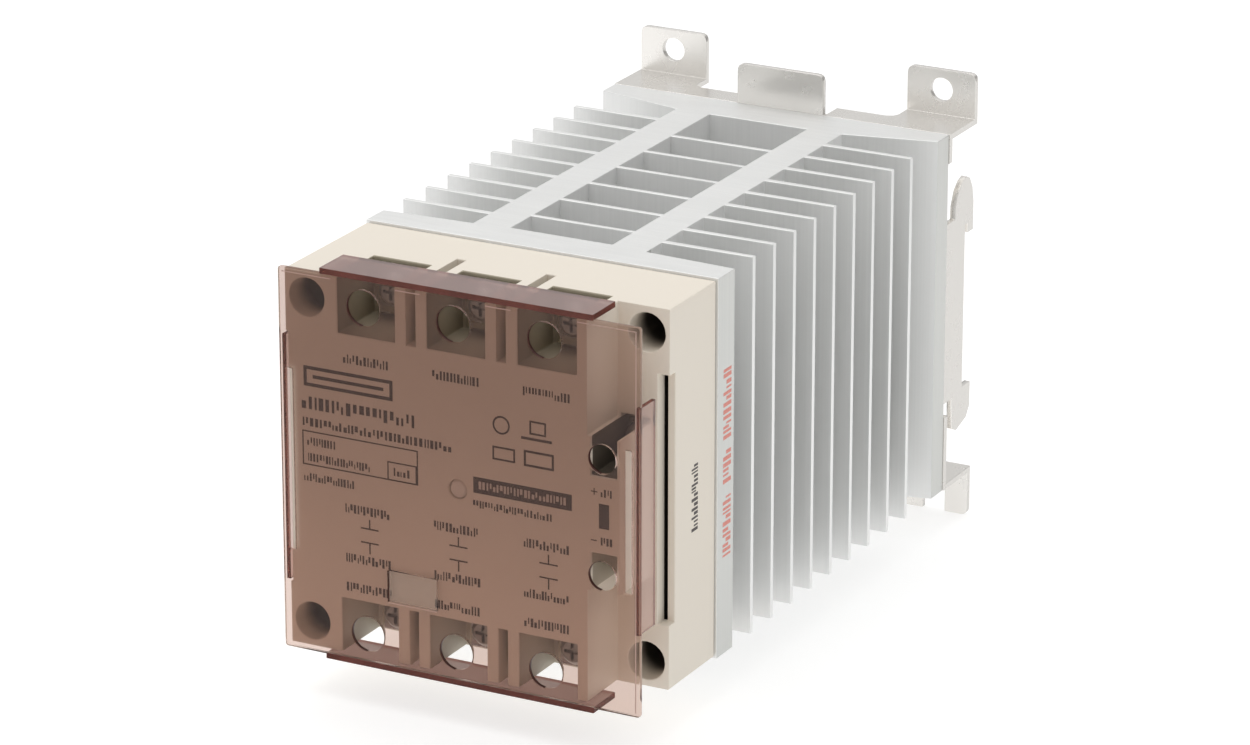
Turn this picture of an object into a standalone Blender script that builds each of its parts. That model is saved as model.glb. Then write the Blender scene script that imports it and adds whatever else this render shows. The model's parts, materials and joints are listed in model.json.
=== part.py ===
"""Three-phase solid state relay with its own heat sink, smoked terminal cover and rail bracket.

Metres, +Z up, the front faces -Y. The origin is in the panel's surface, at the back of the
bracket's ears, half way up the heat sink. Sizes are in millimetres until MM turns them to metres.
"""
import math

import bmesh
import bpy
from mathutils import Vector

MM = 0.001

# ---- stack along Y: counted forward from the panel, then forward from the heat sink's front ----
SHEET = 1.6                      # bracket steel
STANDOFF = 15.6                  # bracket plate's back to the panel
SINK_GAP = 0.1                   # plate to heat sink
SINK_D = 133.3                   # heat sink depth
SINK_W = 99.3
SINK_H = 100.0
PLATE_BACK = -STANDOFF
PLATE_FRONT = PLATE_BACK - SHEET
SINK_BACK = PLATE_FRONT - SINK_GAP
SINK_FRONT = SINK_BACK - SINK_D
TOUCH = 0.3                      # gap left between pieces that touch
SEAM = 0.05                      # step between two welded or moulded faces

# ---- heat sink section ----
FRONT_PLATE_EDGE = 8.7
FRONT_PLATE_ROOT = 10.1
FRONT_PLATE_MID = 11.2
BACK_PLATE_EDGE = 7.0
BACK_PLATE_ROOT = 12.7
FIN_T = 1.5
FIN_FLARE = 0.2                  # extra half thickness at a fin's root
FIN_COUNT = 9
FIN_FIRST = 19.3
FIN_PITCH = 11.37
RIB_COUNT = 6
RIB_FIRST = 22.6
RIB_PITCH = 15.25
WEB_IN = 14.4                    # web faces either side of the middle windows
WEB_OUT = 24.5

# ---- housing, depths counted forward from the heat sink ----
HOUSING_W = 98.2
HOUSING_H = 98.8
WING_DEPTH = 24.7                # low strip at the right
FACE_DEPTH = 40.3                # raised front face
FACE_RIGHT = 35.0
WALL = 2.3
POLE_X = (-26.25, -1.1, 24.05)   # the three phases
POLE_Z = 42.8
RECESS_HALF = 8.1
RECESS_IN = 34.8                 # inner end of a terminal recess
RECESS_FLOOR = 22.4
SLOT_W = 2.6
SLOT_FLOOR = 14.8
CAVITY_Z = 32.2
UNDER_FLOOR = 11.8
CTRL_X = 39.5
CTRL_Z = 15.1
CTRL_IN = 9.9
CTRL_OUT = 20.0
CTRL_RIGHT = 43.8
CTRL_HALF = 3.55
CTRL_FLOOR = 20.0
CTRL_UNDER = 10.4
CORNER_X = 42.9
CORNER_Z = 42.7
WELL_R = 5.0
WELL_FLOOR = 5.0
LATCH_Z = 32.5
LATCH_IN = 45.8
LATCH_MID = 47.1
LATCH_STEP = 21.6
LATCH_FLOOR = 12.0
LAMP_X = -0.9
LAMP_Z = -0.2
LAMP_R = 2.4

# ---- smoked cover ----
COVER_T = 1.2
COVER_GAP = 0.55                 # raised face to the cover plate
COVER_FRONT = FACE_DEPTH + COVER_GAP + COVER_T
COVER_W = 100.4
COVER_H = 100.4
LIP_LEFT = -38.4
LIP_RIGHT = 37.4
LIP_BACK = 30.4
LIP_T = 1.6
LIP_GAP = 0.5
FLANGE_BACK = 32.5
FLANGE_T = 1.2
FLANGE_Z_LEFT = 32.4
FLANGE_Z_RIGHT = 29.2
FLANGE_LEFT = -49.9
FLANGE_RIGHT = 49.4
POLE_HOLE_R = 4.7
CTRL_HOLE_R = 3.8

# ---- terminals ----
BAR_T = 1.2
BAR_HALF = 6.0
WASHER_HALF = 4.9
WASHER_T = 1.0
SCREW_R = 1.95                   # M4 shank
SCREW_HEAD_R = 3.9
SCREW_HEAD_H = 2.8
SCREW_LEN = 10.6
CTRL_BAR_T = 1.0
CTRL_BAR_HALF = 3.1
CTRL_WASHER_HALF = 3.1
CTRL_WASHER_T = 0.8
CTRL_SCREW_R = 1.7               # M3.5 shank
CTRL_HEAD_R = 3.0
CTRL_HEAD_H = 2.2
CTRL_SCREW_LEN = 8.6
THREAD_GAP = 0.25

# ---- board and what stands on it ----
BOARD_BACK = 6.6
BOARD_T = 1.6
PAD_T = 0.5
MODULE_T = 4.8

# ---- bracket ----
EAR_IN = 30.0
EAR_OUT = 50.0
EAR_TOP = 62.3
EAR_HOLE_X = 40.0
EAR_HOLE_Z = 56.8
EAR_HOLE_R = 3.25
EAR_CORNER = 2.0
TAB_HALF = 12.7
TAB_TOP = 60.9
SHELF_BACK = -9.4
RAIL_X = 49.3
RAIL_TOP = 21.5                  # inner top of the rail notch
RAIL_H = 35.0
RAIL_SEAT = -5.1                 # edge that the rail's lips rest on
NOTCH_LOW = -24.2
LATCH_HALF = 12.0
LATCH_T = 2.0
LATCH_TRAVEL = 4.0

ROUND = 24                       # facets on round pieces


# ---------------------------------------------------------------- scene and helpers
for old in list(bpy.data.objects):
    bpy.data.objects.remove(old, do_unlink=True)

parts = bpy.data.collections.new("solid_state_relay")
tools = bpy.data.collections.new("cutters")
bpy.context.scene.collection.children.link(parts)
bpy.context.scene.collection.children.link(tools)


def ahead(depth):
    """Y of a plane that lies this far in front of the heat sink."""
    return SINK_FRONT - depth


def surface(name, colour, rough, metal=0.0, alpha=1.0):
    """A Principled material."""
    mat = bpy.data.materials.new(name)
    mat.use_nodes = True
    shader = mat.node_tree.nodes["Principled BSDF"]
    shader.inputs["Base Color"].default_value = (*colour, 1.0)
    shader.inputs["Roughness"].default_value = rough
    shader.inputs["Metallic"].default_value = metal
    shader.inputs["Alpha"].default_value = alpha
    return mat


def place(name, mesh, centre, group=None):
    """A named object for this mesh, at this centre in millimetres."""
    obj = bpy.data.objects.new(name, mesh)
    obj.location = Vector(centre) * MM
    (group or parts).objects.link(obj)
    return obj


def block(name, x, y, z, group=None):
    """A box given by its three ranges."""
    low = Vector((min(x), min(y), min(z)))
    high = Vector((max(x), max(y), max(z)))
    bm = bmesh.new()
    bmesh.ops.create_cube(bm, size=1.0)
    bmesh.ops.scale(bm, vec=(high - low) * MM, verts=bm.verts)
    mesh = bpy.data.meshes.new(name)
    bm.to_mesh(mesh)
    bm.free()
    return place(name, mesh, (low + high) / 2, group)


def rod(name, x, z, radius, y, group=None, sides=ROUND):
    """A cylinder along Y, between the two values of y."""
    bm = bmesh.new()
    length = abs(y[1] - y[0])
    bmesh.ops.create_cone(bm, cap_ends=True, segments=sides, radius1=radius * MM,
                          radius2=radius * MM, depth=length * MM)
    mesh = bpy.data.meshes.new(name)
    bm.to_mesh(mesh)
    bm.free()
    obj = place(name, mesh, (x, (y[0] + y[1]) / 2, z), group)
    obj.rotation_euler = (math.pi / 2, 0, 0)
    return obj


def outline(name, loops, thickness, centre, plane="XY", group=None):
    """A flat outline with holes, drawn in this plane, thickened both ways and made a mesh."""
    curve = bpy.data.curves.new(name + "_outline", "CURVE")
    curve.dimensions = "2D"
    curve.fill_mode = "BOTH"
    curve.extrude = thickness / 2 * MM
    for loop in loops:
        spline = curve.splines.new("POLY")
        spline.points.add(len(loop) - 1)
        spline.use_cyclic_u = True
        for point, (u, v) in zip(spline.points, loop):
            point.co = (u * MM, v * MM, 0, 1)
    flat = bpy.data.objects.new(name + "_flat", curve)
    tools.objects.link(flat)
    bpy.context.view_layer.update()
    mesh = bpy.data.meshes.new_from_object(flat.evaluated_get(bpy.context.evaluated_depsgraph_get()))
    bpy.data.objects.remove(flat, do_unlink=True)
    bm = bmesh.new()
    bm.from_mesh(mesh)
    for vert in bm.verts:
        u, v, w = vert.co
        vert.co = {"XY": (u, v, w), "XZ": (u, w, v), "YZ": (w, u, v)}[plane]
    bmesh.ops.remove_doubles(bm, verts=bm.verts, dist=1e-7)
    bmesh.ops.dissolve_limit(bm, angle_limit=0.0005, verts=bm.verts, edges=bm.edges)
    bmesh.ops.recalc_face_normals(bm, faces=bm.faces)
    bm.to_mesh(mesh)
    bm.free()
    mesh.name = name
    return place(name, mesh, centre, group)


def turned(name, profile, centre, steps=ROUND, group=None):
    """A profile of (radius, height) swept round the axis, its top facing -Y."""
    mesh = bpy.data.meshes.new(name)
    points = [(r * MM, 0, h * MM) for r, h in profile]
    mesh.from_pydata(points, [(i, i + 1) for i in range(len(points) - 1)], [])
    obj = place(name, mesh, centre, group)
    screw = obj.modifiers.new("sweep", "SCREW")
    screw.steps = steps
    screw.render_steps = steps
    screw.use_merge_vertices = True
    screw.merge_threshold = 0.00001
    obj.rotation_euler = (math.pi / 2, 0, 0)
    return obj


def boolean(obj, other, operation):
    """Join or cut with another object, which is kept out of sight."""
    for group in list(other.users_collection):
        group.objects.unlink(other)
    tools.objects.link(other)
    other.hide_render = True
    other.display_type = "WIRE"
    step = obj.modifiers.new(operation.lower() + "_" + other.name, "BOOLEAN")
    step.operation = operation
    step.solver = "EXACT"
    step.object = other


def cut(obj, other):
    boolean(obj, other, "DIFFERENCE")


def join(obj, other):
    boolean(obj, other, "UNION")


def finish(obj, mat):
    """Give a piece its material."""
    obj.data.materials.append(mat)
    return obj


def rounded(points, corners, radius, steps=4):
    """Replace the named corners of a loop by short arcs."""
    result = []
    count = len(points)
    for i, point in enumerate(points):
        here = Vector(point)
        if i not in corners:
            result.append(tuple(here))
            continue
        before = (Vector(points[i - 1]) - here).normalized()
        after = (Vector(points[(i + 1) % count]) - here).normalized()
        start = here + before * radius
        end = here + after * radius
        for k in range(steps + 1):
            t = k / steps
            result.append(tuple((1 - t) ** 2 * start + 2 * t * (1 - t) * here + t ** 2 * end))
    return result


# ---------------------------------------------------------------- materials
alloy = surface("sink_alloy", (0.66, 0.67, 0.67), 0.34, 0.9)
beige = surface("beige_moulding", (0.78, 0.71, 0.63), 0.5)
smoke = surface("smoked_cover", (0.26, 0.15, 0.12), 0.2, 0.0, 0.5)
plated = surface("plated_steel", (0.72, 0.68, 0.64), 0.22, 1.0)
tinned = surface("tinned_brass", (0.76, 0.72, 0.62), 0.3, 1.0)
zinc = surface("zinc_screw", (0.62, 0.62, 0.6), 0.3, 1.0)
board_green = surface("board_green", (0.05, 0.2, 0.1), 0.5)
epoxy = surface("black_epoxy", (0.03, 0.03, 0.035), 0.5)
pad_grey = surface("thermal_grey", (0.5, 0.52, 0.55), 0.7)
disc_blue = surface("varistor_blue", (0.05, 0.12, 0.4), 0.45)
clear = surface("clear_lens", (0.8, 0.8, 0.76), 0.12)
film_grey = surface("capacitor_yellow", (0.7, 0.5, 0.08), 0.45)
spring_steel = surface("spring_steel", (0.5, 0.5, 0.52), 0.3, 1.0)
latch_black = surface("latch_black", (0.04, 0.04, 0.045), 0.5)


# ---------------------------------------------------------------- heat sink
def sink_side(sign):
    """One finned side of the section, front to back for +1 and back to front for -1."""
    half = SINK_W / 2
    side = [(half, 0), (half, FRONT_PLATE_EDGE), (WEB_OUT, FRONT_PLATE_ROOT)]
    for i in range(FIN_COUNT):
        middle = FIN_FIRST + i * FIN_PITCH
        side.append((WEB_OUT, middle - FIN_T / 2 - FIN_FLARE))
        side.append((half, middle - FIN_T / 2))
        side.append((half, middle + FIN_T / 2))
        side.append((WEB_OUT, middle + FIN_T / 2 + FIN_FLARE))
    side.append((WEB_OUT, SINK_D - BACK_PLATE_ROOT))
    side.append((half, SINK_D - BACK_PLATE_EDGE))
    side.append((half, SINK_D))
    if sign < 0:
        side = [(-x, y) for x, y in reversed(side)]
    return side


def sink_windows():
    """The openings between the two webs, parted by the cross ribs."""
    ribs = [RIB_FIRST + i * RIB_PITCH for i in range(RIB_COUNT)]
    starts = [FRONT_PLATE_MID] + [rib + FIN_T / 2 for rib in ribs]
    ends = [rib - FIN_T / 2 for rib in ribs] + [SINK_D - BACK_PLATE_ROOT - 0.2]
    return [[(-WEB_IN, a), (WEB_IN, a), (WEB_IN, b), (-WEB_IN, b)] for a, b in zip(starts, ends)]


heat_sink = outline("heat_sink", [sink_side(1) + sink_side(-1)] + sink_windows(), SINK_H,
                    (0, SINK_FRONT, 0))
CORNERS = [(sx * CORNER_X, sz * CORNER_Z) for sx in (-1, 1) for sz in (-1, 1)]
FIX_R = 1.9
FIX_LEN = 11.9
FIX_HOLE_DEPTH = 7.4
for k, (x, z) in enumerate(CORNERS):
    cut(heat_sink, rod(f"sink_front_hole_{k}", x, z, FIX_R + THREAD_GAP,
                       (ahead(2), ahead(-FIX_HOLE_DEPTH)), tools, 16))
BRACKET_SCREWS = [(sx * 30.0, sz * 38.0) for sx in (-1, 1) for sz in (-1, 1)]
for k, (x, z) in enumerate(BRACKET_SCREWS):
    cut(heat_sink, rod(f"sink_back_hole_{k}", x, z, SCREW_R + THREAD_GAP,
                       (SINK_BACK + 2, SINK_BACK - 8.2), tools, 16))
finish(heat_sink, alloy)

# ---------------------------------------------------------------- housing
HW = HOUSING_W / 2
HH = HOUSING_H / 2
housing = outline("housing", [[(-HW, -TOUCH), (HW, -TOUCH), (HW, -WING_DEPTH), (FACE_RIGHT, -WING_DEPTH),
                               (FACE_RIGHT, -FACE_DEPTH), (-HW, -FACE_DEPTH)]],
                  HOUSING_H, (0, SINK_FRONT, 0))
join(housing, block("control_block", (FACE_RIGHT - 1, CTRL_RIGHT),
                    (ahead(WING_DEPTH - 1), ahead(FACE_DEPTH - SEAM)), (-CTRL_OUT, CTRL_OUT)))
CAVITY_LEFT = -46.5
cut(housing, block("main_cavity", (CAVITY_LEFT, FACE_RIGHT - WALL),
                   (ahead(-1), ahead(FACE_DEPTH - WALL)), (-CAVITY_Z, CAVITY_Z)))
cut(housing, block("wing_cavity", (FACE_RIGHT - WALL - 1, CTRL_RIGHT), (ahead(-1), ahead(CTRL_UNDER)),
                   (-CAVITY_Z, CAVITY_Z)))
for sign in (-1, 1):
    cut(housing, block(f"end_cavity_{sign}", (-36.0, 34.0), (ahead(-1), ahead(UNDER_FLOOR)),
                       (sign * (CAVITY_Z - 1), sign * (HH - WALL))))
    for k, x in enumerate(POLE_X):
        cut(housing, block(f"recess_{sign}_{k}", (x - RECESS_HALF, x + RECESS_HALF),
                           (ahead(RECESS_FLOOR), ahead(FACE_DEPTH + 5)),
                           (sign * RECESS_IN, sign * (HH + 5))))
        cut(housing, block(f"leg_slot_{sign}_{k}", (x - BAR_HALF - TOUCH, x + BAR_HALF + TOUCH),
                           (ahead(UNDER_FLOOR - 1), ahead(RECESS_FLOOR + 1)),
                           (sign * (RECESS_IN + 0.6), sign * (RECESS_IN + 0.6 + BAR_T + 2 * TOUCH))))
        cut(housing, rod(f"tip_hole_{sign}_{k}", x, sign * POLE_Z, SCREW_R + 0.5,
                         (ahead(SLOT_FLOOR - 1.2), ahead(RECESS_FLOOR + 1)), tools, 16))
    for k in (0, 1):
        x = (POLE_X[k] + POLE_X[k + 1]) / 2
        cut(housing, block(f"divider_slot_{sign}_{k}", (x - SLOT_W / 2, x + SLOT_W / 2),
                           (ahead(SLOT_FLOOR), ahead(FACE_DEPTH + 5)),
                           (sign * RECESS_IN, sign * (HH + 5))))
    cut(housing, block(f"control_recess_{sign}", (CTRL_X - CTRL_HALF, CTRL_X + CTRL_HALF),
                       (ahead(CTRL_FLOOR), ahead(FACE_DEPTH + 5)),
                       (sign * CTRL_IN, sign * (CTRL_OUT + 1))))
    cut(housing, block(f"control_leg_slot_{sign}",
                       (CTRL_X - CTRL_BAR_HALF - TOUCH, CTRL_X + CTRL_BAR_HALF + TOUCH),
                       (ahead(CTRL_UNDER - 1), ahead(CTRL_FLOOR + 1)),
                       (sign * (CTRL_IN + 0.5), sign * (CTRL_IN + 0.5 + CTRL_BAR_T + 2 * TOUCH))))
    cut(housing, rod(f"control_tip_hole_{sign}", CTRL_X, sign * CTRL_Z, CTRL_SCREW_R + 0.4,
                     (ahead(CTRL_UNDER + 1.6), ahead(CTRL_FLOOR + 1)), tools, 16))
for k, (x, z) in enumerate(CORNERS):
    cut(housing, rod(f"well_{k}", x, z, WELL_R, (ahead(WELL_FLOOR), ahead(FACE_DEPTH + 5)), tools))
    cut(housing, rod(f"well_hole_{k}", x, z, FIX_R + TOUCH, (ahead(-1), ahead(WELL_FLOOR + 1)),
                     tools, 16))
cut(housing, block("latch_notch", (LATCH_IN, HW + 2), (ahead(LATCH_STEP), ahead(WING_DEPTH + 3)),
                   (-LATCH_Z, LATCH_Z)))
cut(housing, block("latch_slot", (LATCH_IN, LATCH_MID), (ahead(LATCH_FLOOR), ahead(LATCH_STEP + 1)),
                   (-LATCH_Z, LATCH_Z)))
cut(housing, block("flange_seat", (-HW - 2, FLANGE_LEFT + FLANGE_T + TOUCH),
                   (ahead(FLANGE_BACK - 0.6), ahead(FACE_DEPTH + 3)),
                   (-FLANGE_Z_LEFT - 0.6, FLANGE_Z_LEFT + 0.6)))
cut(housing, rod("lamp_hole", LAMP_X, LAMP_Z, LAMP_R + 0.15, (ahead(FACE_DEPTH - 6),
                                                              ahead(FACE_DEPTH + 3)), tools))
finish(housing, beige)

# ---------------------------------------------------------------- smoked terminal cover
CW = COVER_W / 2
CH = COVER_H / 2
COVER_BACK = COVER_FRONT - COVER_T
terminal_cover = block("terminal_cover", (-CW, CW), (ahead(COVER_BACK), ahead(COVER_FRONT)), (-CH, CH))
for sign in (-1, 1):
    join(terminal_cover, block(f"lip_{sign}", (LIP_LEFT, LIP_RIGHT),
                               (ahead(LIP_BACK), ahead(COVER_FRONT - SEAM)),
                               (sign * (HH + LIP_GAP), sign * (HH + LIP_GAP + LIP_T))))
join(terminal_cover, block("flange_left", (FLANGE_LEFT, FLANGE_LEFT + FLANGE_T),
                           (ahead(FLANGE_BACK), ahead(COVER_BACK + 0.6)),
                           (-FLANGE_Z_LEFT, FLANGE_Z_LEFT)))
join(terminal_cover, block("flange_right", (FLANGE_RIGHT - FLANGE_T, FLANGE_RIGHT),
                           (ahead(FLANGE_BACK), ahead(COVER_BACK + 0.6)),
                           (-FLANGE_Z_RIGHT, FLANGE_Z_RIGHT)))
THROUGH = (ahead(COVER_BACK - 2), ahead(COVER_FRONT + 2))
for sign in (-1, 1):
    for k, x in enumerate(POLE_X):
        cut(terminal_cover, rod(f"pole_hole_{sign}_{k}", x, sign * POLE_Z, POLE_HOLE_R, THROUGH, tools, 32))
    cut(terminal_cover, rod(f"control_hole_{sign}", CTRL_X + 0.2, sign * CTRL_Z, CTRL_HOLE_R, THROUGH,
                            tools, 32))
cut(terminal_cover, block("slot_left", (-48.6, -46.7), THROUGH, (-24.0, 24.0)))
cut(terminal_cover, block("slot_right", (45.7, 47.8), THROUGH, (-18.5, 18.5)))
cut(terminal_cover, block("marking_seat", (-20.1, -6.4), (ahead(COVER_FRONT - 0.4), ahead(COVER_FRONT + 2)),
                          (-32.9, -24.6)))
finish(terminal_cover, smoke)

# ---------------------------------------------------------------- indicator light pipe
light_pipe = turned("light_pipe", [(0, 0), (LAMP_R * 0.8, 0), (LAMP_R, -0.5), (LAMP_R, -2.7), (3.6, -2.7),
                                   (3.6, -4.2), (1.6, -4.2), (1.6, -27.0), (0, -27.0)],
                    (LAMP_X, ahead(FACE_DEPTH - 0.1), LAMP_Z))
finish(light_pipe, clear)

# ---------------------------------------------------------------- board, power modules, small parts
BOARD_FRONT = BOARD_BACK + BOARD_T
WIDE = CAVITY_Z - 1
LONG = HH - WALL - 1
board_loop = [(-35.0, LONG), (33.0, LONG), (33.0, WIDE), (42.6, WIDE), (42.6, -WIDE), (33.0, -WIDE),
              (33.0, -LONG), (-35.0, -LONG), (-35.0, -WIDE), (-45.0, -WIDE), (-45.0, WIDE), (-35.0, WIDE)]
circuit_board = outline("circuit_board", [board_loop], BOARD_T,
                        (0, ahead((BOARD_BACK + BOARD_FRONT) / 2), 0), "XZ")
finish(circuit_board, board_green)

for k, x in enumerate(POLE_X):
    pad = block(f"thermal_pad_{k + 1}", (x - 12.0, x + 12.0), (ahead(TOUCH), ahead(TOUCH + PAD_T)),
                (-14.0, 14.0))
    finish(pad, pad_grey)
    back = TOUCH + PAD_T + 0.2
    module = block(f"power_module_{k + 1}", (x - 11.0, x + 11.0), (ahead(back), ahead(back + MODULE_T)),
                   (-13.0, 13.0))
    join(module, block(f"module_tail_{k + 1}", (x - 8.0, x + 8.0), (ahead(back + 1.2), ahead(back + 2.2)),
                       (-19.0, 19.0)))
    finish(module, epoxy)
    coupler = block(f"photocoupler_{k + 1}", (x - 4.7, x + 4.7),
                    (ahead(BOARD_FRONT + 0.2), ahead(BOARD_FRONT + 4.0)), (-20.0, -13.5))
    finish(coupler, epoxy)
    varistor = rod(f"varistor_{k + 1}", x, 22.0, 7.0, (ahead(BOARD_FRONT + 3.0), ahead(BOARD_FRONT + 7.5)),
                   None, ROUND)
    join(varistor, block(f"varistor_leads_{k + 1}", (x - 4.2, x + 4.2),
                         (ahead(BOARD_FRONT + 0.2), ahead(BOARD_FRONT + 4.0)), (21.5, 22.5)))
    finish(varistor, disc_blue)
    capacitor = block(f"snubber_capacitor_{k + 1}", (x - 7.5, x + 7.5),
                      (ahead(BOARD_FRONT + 0.2), ahead(BOARD_FRONT + 11.0)), (4.5, 11.5))
    finish(capacitor, film_grey)

led = turned("led_emitter", [(0, 3.4), (0.9, 3.0), (1.4, 2.2), (1.5, 1.2), (1.9, 1.2), (1.9, 0), (0, 0)],
             (LAMP_X, ahead(BOARD_FRONT + 0.2), LAMP_Z), 16)
finish(led, clear)


# ---------------------------------------------------------------- terminals with their clamps and screws
def cross_recess(name, x, z, arm, bottom, top):
    """The cross-shaped tool that sinks a driver recess into a head."""
    t = 0.4
    r = 0.5
    plus = [(arm, t), (r, r), (t, arm), (-t, arm), (-r, r), (-arm, t), (-arm, -t), (-r, -r), (-t, -arm),
            (t, -arm), (r, -r), (arm, -t)]
    return outline(name + "_cross", [plus], abs(top - bottom), (x, (top + bottom) / 2, z), "XZ", tools)


def clamp_screw(name, x, z, seat, radius, head_r, head_h, length):
    """A pan-head screw with a cross recess; seat is the depth of the face under its head."""
    screw = turned(name, [(0, head_h), (head_r * 0.7, head_h), (head_r, head_h * 0.55), (head_r, 0),
                          (radius, 0), (radius, -length + 0.5), (radius - 0.5, -length), (0, -length)],
                   (x, ahead(seat), z), 20)
    cut(screw, cross_recess(name, x, z, head_r * 0.58, ahead(seat + head_h * 0.5), ahead(seat + head_h + 1)))
    return finish(screw, zinc)


def clamp_washer(name, x, z, back, half, thick, hole):
    """A square washer that bears on the conductor."""
    washer = block(name, (x - half, x + half), (ahead(back), ahead(back + thick)), (z - half, z + half))
    cut(washer, rod(name + "_hole", x, z, hole, (ahead(back - 1), ahead(back + thick + 1)), tools, 20))
    return finish(washer, zinc)


def bent_bar(name, x, half, back, thick, sign, inner, outer):
    """A terminal bar: flat under the clamp, with a leg bent back to the board at its inner end."""
    front = -(back + thick)
    leg = -(BOARD_FRONT + TOUCH)
    loop = [(front, inner), (front, outer), (-back, outer), (-back, inner + thick), (leg, inner + thick),
            (leg, inner)]
    return outline(name, [[(y, sign * z) for y, z in loop]], 2 * half, (x, SINK_FRONT, 0), "YZ")


BAR_BACK = RECESS_FLOOR + TOUCH
BAR_FRONT = BAR_BACK + BAR_T
WASHER_BACK = BAR_FRONT + 0.1
SEAT = WASHER_BACK + WASHER_T + 0.1
for sign, side in ((1, "line"), (-1, "load")):
    for k, x in enumerate(POLE_X):
        tag = f"{side}_{k + 1}"
        inner = RECESS_IN + 0.6 + TOUCH
        bar = bent_bar(f"{tag}_terminal", x, BAR_HALF, BAR_BACK, BAR_T, sign, inner, HH - 0.8)
        cut(bar, rod(f"{tag}_bar_hole", x, sign * POLE_Z, SCREW_R + THREAD_GAP,
                     (ahead(BAR_BACK - 1), ahead(BAR_FRONT + 1)), tools, 20))
        finish(bar, tinned)
        clamp_washer(f"{tag}_washer", x, sign * POLE_Z, WASHER_BACK, WASHER_HALF, WASHER_T, SCREW_R + 0.3)
        clamp_screw(f"{tag}_screw", x, sign * POLE_Z, SEAT, SCREW_R, SCREW_HEAD_R, SCREW_HEAD_H, SCREW_LEN)

CTRL_BAR_BACK = CTRL_FLOOR + TOUCH
CTRL_BAR_FRONT = CTRL_BAR_BACK + CTRL_BAR_T
CTRL_WASHER_BACK = CTRL_BAR_FRONT + 0.1
CTRL_SEAT = CTRL_WASHER_BACK + CTRL_WASHER_T + 0.1
for sign, tag in ((1, "control_plus"), (-1, "control_minus")):
    inner = CTRL_IN + 0.5 + TOUCH
    bar = bent_bar(f"{tag}_terminal", CTRL_X, CTRL_BAR_HALF, CTRL_BAR_BACK, CTRL_BAR_T, sign, inner,
                   CTRL_OUT - 0.6)
    cut(bar, rod(f"{tag}_bar_hole", CTRL_X, sign * CTRL_Z, CTRL_SCREW_R + THREAD_GAP,
                 (ahead(CTRL_BAR_BACK - 1), ahead(CTRL_BAR_FRONT + 1)), tools, 20))
    finish(bar, tinned)
    clamp_washer(f"{tag}_washer", CTRL_X, sign * CTRL_Z, CTRL_WASHER_BACK, CTRL_WASHER_HALF,
                 CTRL_WASHER_T, CTRL_SCREW_R + 0.3)
    clamp_screw(f"{tag}_screw", CTRL_X, sign * CTRL_Z, CTRL_SEAT, CTRL_SCREW_R, CTRL_HEAD_R,
                CTRL_HEAD_H, CTRL_SCREW_LEN)

# ---------------------------------------------------------------- corner screws
for k, (x, z) in enumerate(CORNERS):
    clamp_screw(f"corner_screw_{k + 1}", x, z, WELL_FLOOR + 0.1, FIX_R, 3.6, 2.8, FIX_LEN)

# ---------------------------------------------------------------- mounting bracket
half_h = SINK_H / 2
ROOT = 45.5
plate_h = half_h - SEAM
plate_w = EAR_OUT - SEAM
plate_right = [(TAB_HALF, plate_h), (plate_w, plate_h), (plate_w, 42.0), (ROOT, 40.0), (ROOT, 25.0),
               (RAIL_X - SEAM, 24.8 - SEAM), (RAIL_X - SEAM, -25.6 + SEAM), (ROOT, -25.8),
               (ROOT, -28.8), (plate_w, -29.0), (plate_w, -plate_h)]
tab = rounded([(-TAB_HALF, TAB_TOP), (TAB_HALF, TAB_TOP), (TAB_HALF, half_h), (-TAB_HALF, half_h)],
              (0, 1), EAR_CORNER)[:-2]
plate_loop = tab + plate_right + [(-x, z) for x, z in reversed(plate_right)]
bracket = outline("mounting_bracket", [plate_loop], SHEET, (0, (PLATE_BACK + PLATE_FRONT) / 2, 0), "XZ")

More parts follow.
